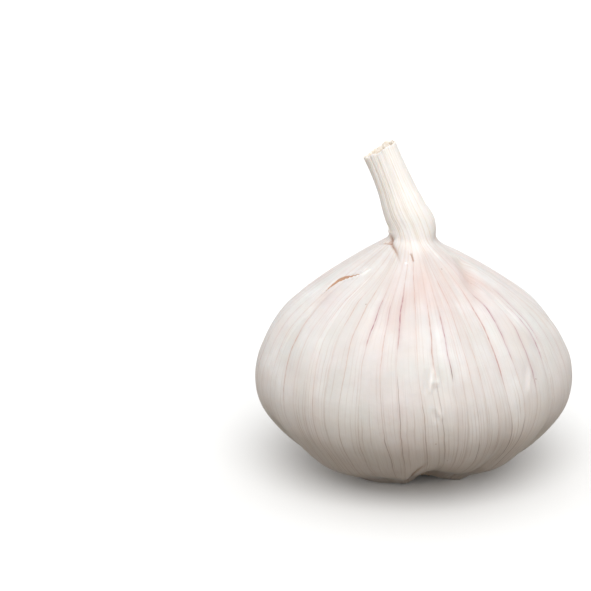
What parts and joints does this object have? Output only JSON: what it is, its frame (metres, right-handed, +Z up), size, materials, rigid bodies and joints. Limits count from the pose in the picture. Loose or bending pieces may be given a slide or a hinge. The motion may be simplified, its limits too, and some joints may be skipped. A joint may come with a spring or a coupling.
{
  "type": "garlic bulb",
  "caption": "Whole dried garlic bulb with papery skin over its cloves, a short cut neck leaning to one side, and a trimmed root plate underneath.",
  "frame": {"origin": "on the surface the bulb stands on, under the middle of its bounding box", "axes": "+Z up, away from the surface it stands on; -Y is the front, the side with the shallow furrows, and the neck leans towards -X and slightly +Y"},
  "size_m": [0.0598, 0.0598, 0.0621],
  "materials": {
    "skin": "satin",
    "roots": "matte"
  },
  "bodies": {
    "root": {"bulb": "skin", "root_plate": "roots"}
  },
  "joints": []
}
